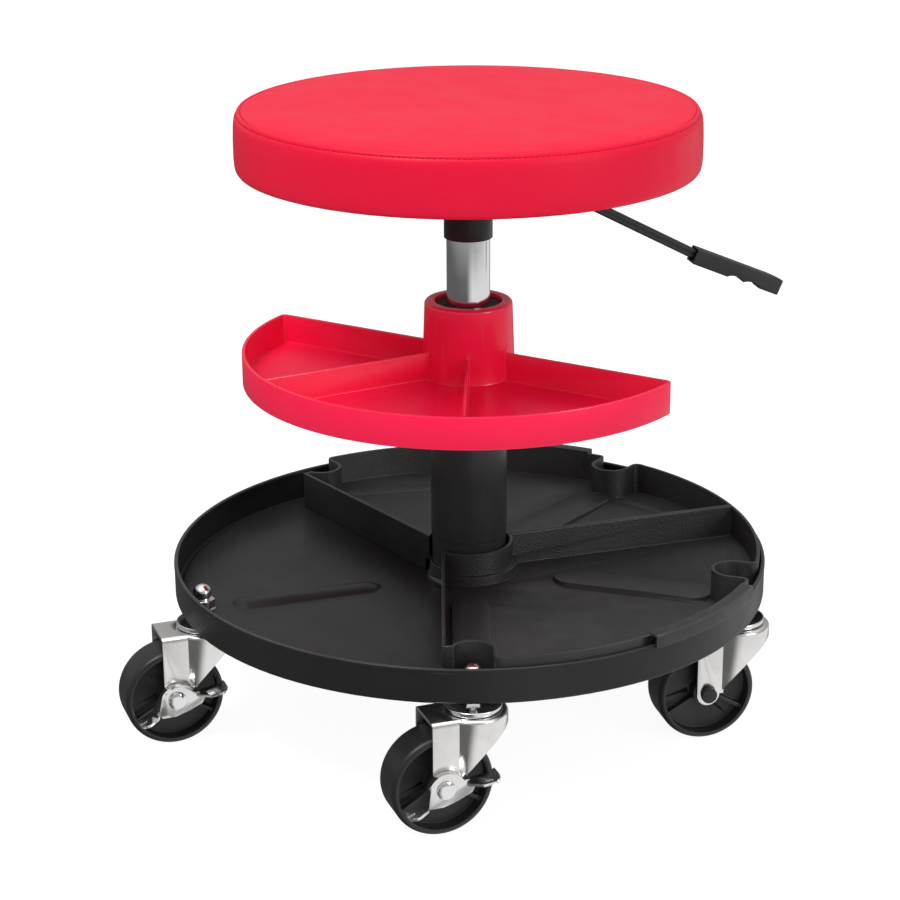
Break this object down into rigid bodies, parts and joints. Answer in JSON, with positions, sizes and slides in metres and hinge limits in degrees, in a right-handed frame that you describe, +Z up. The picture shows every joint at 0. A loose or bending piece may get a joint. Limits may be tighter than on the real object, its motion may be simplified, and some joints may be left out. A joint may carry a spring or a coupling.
{
  "type": "rolling workshop stool",
  "caption": "Rolling workshop stool with a padded round seat on a gas lift, a swivel tray, lift-out tool trays in a round pan, and swivel casters.",
  "frame": {"origin": "on the floor under the middle of the column", "axes": "+Z up; -Y towards the front caster, which is the side nearest the picture's camera; +X to the picture's right"},
  "size_m": [0.529, 0.5119, 0.489],
  "materials": {
    "black_steel": "semi-gloss black powder coat",
    "zinc": "bright zinc plate",
    "chrome": "polished",
    "ball_steel": "ground",
    "red_plastic": "satin to glossy moulded red",
    "black_plastic": "fine grained moulded black",
    "black_rubber": "satin",
    "wheel_plastic": "satin moulded black",
    "red_vinyl": "satin upholstery vinyl",
    "foam": "open cell",
    "plywood": "raw",
    "bronze": "sintered",
    "nylon": "natural"
  },
  "bodies": {
    "base": {"base_pan": "black_steel", "column_sleeve": "black_plastic", "sleeve_foot": "black_plastic", "outer_column": "black_steel", "guide_bush": "nylon", "tray_thrust_ring": "nylon", "lower_thrust_race": "ball_steel", "thrust_balls": "ball_steel", "caster_stems": "zinc", "stem_nuts": "chrome", "stem_washers": "zinc", "raceway_dishes": "chrome", "raceway_balls": "ball_steel"},
    "spindle": {"piston_rod": "chrome", "piston": "ball_steel", "piston_ring": "black_rubber", "upper_thrust_race": "ball_steel", "rod_clip": "ball_steel", "bump_stop": "black_rubber"},
    "seat": {"gas_cylinder": "chrome", "rod_guide": "bronze", "valve_body": "bronze", "seat_socket": "black_steel", "lever_bracket": "black_steel", "seat_plate": "black_steel", "plate_bolts": "zinc", "plate_washers": "zinc", "tee_nuts": "zinc", "seat_board": "plywood", "seat_foam": "foam", "seat_side_band": "red_vinyl", "seat_top_panel": "red_vinyl", "cover_staples": "zinc", "lever_pin": "zinc"},
    "lever": {"lever_rod": "black_plastic", "lever_grip": "black_rubber"},
    "valve": {"valve_pin": "ball_steel"},
    "red_tray": {"swivel_tray": "red_plastic"},
    "front_tray": {"tool_tray_front": "black_plastic"},
    "rear_tray": {"tool_tray_rear": "black_plastic"},
    "caster_1": {"caster_yoke_1": "zinc", "caster_axle_1": "zinc"},
    "wheel_1": {"caster_wheel_1": "wheel_plastic"},
    "brake_1": {"brake_pedal_1": "zinc"},
    "caster_2": {"caster_yoke_2": "zinc", "caster_axle_2": "zinc", "axle_caps_2": "black_plastic"},
    "wheel_2": {"caster_wheel_2": "wheel_plastic"},
    "caster_3": {"caster_yoke_3": "zinc", "caster_axle_3": "zinc", "axle_caps_3": "black_plastic"},
    "wheel_3": {"caster_wheel_3": "wheel_plastic"},
    "caster_4": {"caster_yoke_4": "zinc", "caster_axle_4": "zinc", "axle_caps_4": "black_plastic"},
    "wheel_4": {"caster_wheel_4": "wheel_plastic"},
    "caster_5": {"caster_yoke_5": "zinc", "caster_axle_5": "zinc"},
    "wheel_5": {"caster_wheel_5": "wheel_plastic"},
    "brake_5": {"brake_pedal_5": "zinc"}
  },
  "joints": [
    {"name": "seat_swivel", "type": "hinge", "parent": "base", "child": "spindle", "pos_m": [0, 0, 0.1], "axis": [0, 0, 1], "continuous": true},
    {"name": "seat_height", "type": "slide", "parent": "spindle", "child": "seat", "axis": [0, 0, 1], "range_m": [-0.045, 0.075]},
    {"name": "lever_lift", "type": "hinge", "parent": "seat", "child": "lever", "pos_m": [0.02934, 0.00624, 0.4345], "axis": [0.2079, -0.9781, 0], "range_deg": [0, 5], "stiffness_Nm_per_rad": 4},
    {"name": "valve_press", "type": "slide", "parent": "seat", "child": "valve", "axis": [0, 0, -1], "range_m": [0, 0.003], "stiffness_N_per_m": 400},
    {"name": "tray_swivel", "type": "hinge", "parent": "base", "child": "red_tray", "pos_m": [0, 0, 0.273], "axis": [0, 0, 1], "continuous": true},
    {"name": "front_tray_lift", "type": "slide", "parent": "base", "child": "front_tray", "axis": [0, 0, 1], "range_m": [0, 0.06]},
    {"name": "rear_tray_lift", "type": "slide", "parent": "base", "child": "rear_tray", "axis": [0, 0, 1], "range_m": [0, 0.06]},
    {"name": "caster_swivel_1", "type": "hinge", "parent": "base", "child": "caster_1", "pos_m": [0, -0.22, 0.085], "axis": [0, 0, 1], "continuous": true},
    {"name": "wheel_spin_1", "type": "hinge", "parent": "caster_1", "child": "wheel_1", "pos_m": [-0.02697, -0.22982, 0.0392], "axis": [0.342, -0.9397, 0], "continuous": true},
    {"name": "brake_tilt_1", "type": "hinge", "parent": "caster_1", "child": "brake_1", "pos_m": [-0.02697, -0.22982, 0.0392], "axis": [0.342, -0.9397, 0], "range_deg": [-10, 10]},
    {"name": "caster_swivel_2", "type": "hinge", "parent": "base", "child": "caster_2", "pos_m": [0.20923, -0.06798, 0.085], "axis": [0, 0, 1], "continuous": true},
    {"name": "wheel_spin_2", "type": "hinge", "parent": "caster_2", "child": "wheel_2", "pos_m": [0.18138, -0.07493, 0.0392], "axis": [0.2419, -0.9703, 0], "continuous": true},
    {"name": "caster_swivel_3", "type": "hinge", "parent": "base", "child": "caster_3", "pos_m": [0.12931, 0.17798, 0.085], "axis": [0, 0, 1], "continuous": true},
    {"name": "wheel_spin_3", "type": "hinge", "parent": "caster_3", "child": "wheel_3", "pos_m": [0.10234, 0.16817, 0.0392], "axis": [0.342, -0.9397, 0], "continuous": true},
    {"name": "caster_swivel_4", "type": "hinge", "parent": "base", "child": "caster_4", "pos_m": [-0.12931, 0.17798, 0.085], "axis": [0, 0, 1], "continuous": true},
    {"name": "wheel_spin_4", "type": "hinge", "parent": "caster_4", "child": "wheel_4", "pos_m": [-0.15628, 0.16817, 0.0392], "axis": [0.342, -0.9397, 0], "continuous": true},
    {"name": "caster_swivel_5", "type": "hinge", "parent": "base", "child": "caster_5", "pos_m": [-0.20923, -0.06798, 0.085], "axis": [0, 0, 1], "continuous": true},
    {"name": "wheel_spin_5", "type": "hinge", "parent": "caster_5", "child": "wheel_5", "pos_m": [-0.2362, -0.0778, 0.0392], "axis": [0.342, -0.9397, 0], "continuous": true},
    {"name": "brake_tilt_5", "type": "hinge", "parent": "caster_5", "child": "brake_5", "pos_m": [-0.2362, -0.0778, 0.0392], "axis": [0.342, -0.9397, 0], "range_deg": [-10, 10]}
  ],
  "couplings": [
    {"joint": "valve_press", "follows": "lever_lift", "m_per_rad": 0.03}
  ]
}
